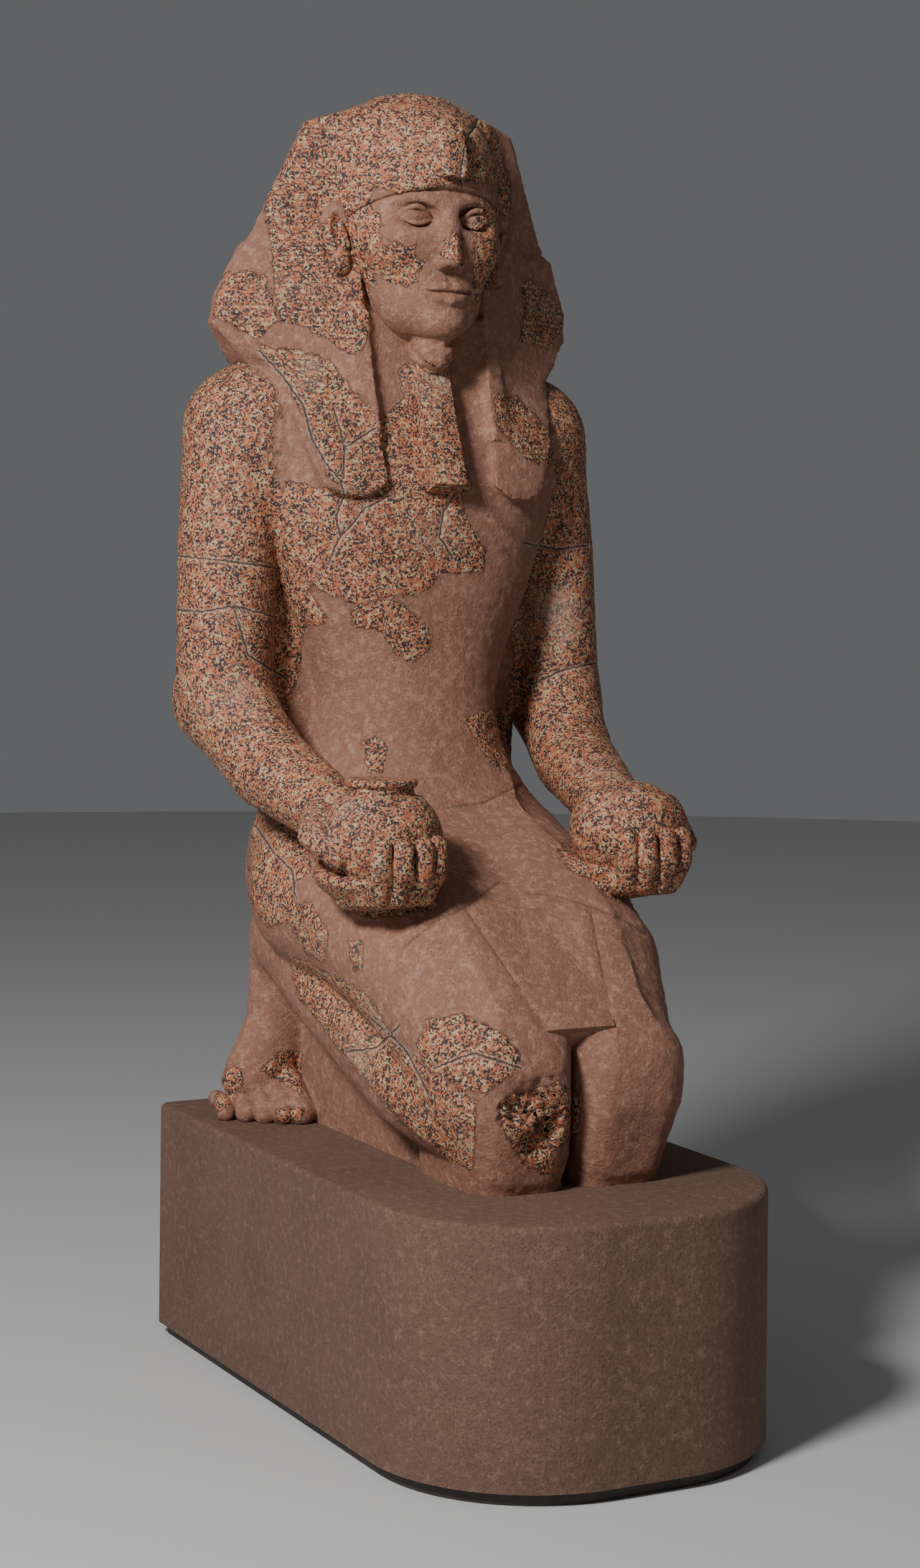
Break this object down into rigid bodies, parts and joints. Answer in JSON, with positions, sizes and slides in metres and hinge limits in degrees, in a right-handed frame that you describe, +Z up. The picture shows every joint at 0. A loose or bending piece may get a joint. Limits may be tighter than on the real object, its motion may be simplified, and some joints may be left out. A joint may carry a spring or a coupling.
{
  "type": "kneeling statue",
  "caption": "Life-size-and-a-half granite statue of a kneeling king in a striped headcloth offering two round jars, on a round-fronted base over a thin slab.",
  "frame": {"origin": "centre of the support slab's underside", "axes": "+Z up, -Y the way the figure faces, +X towards the figure's left arm"},
  "size_m": [0.9887, 1.414, 2.6681],
  "materials": {
    "carved_stone": "worn granite with dusty mauve-pink fill",
    "slab_stone": "dark, matt"
  },
  "bodies": {
    "root": {"kneeling_statue": "carved_stone", "support_slab": "slab_stone"}
  },
  "joints": []
}
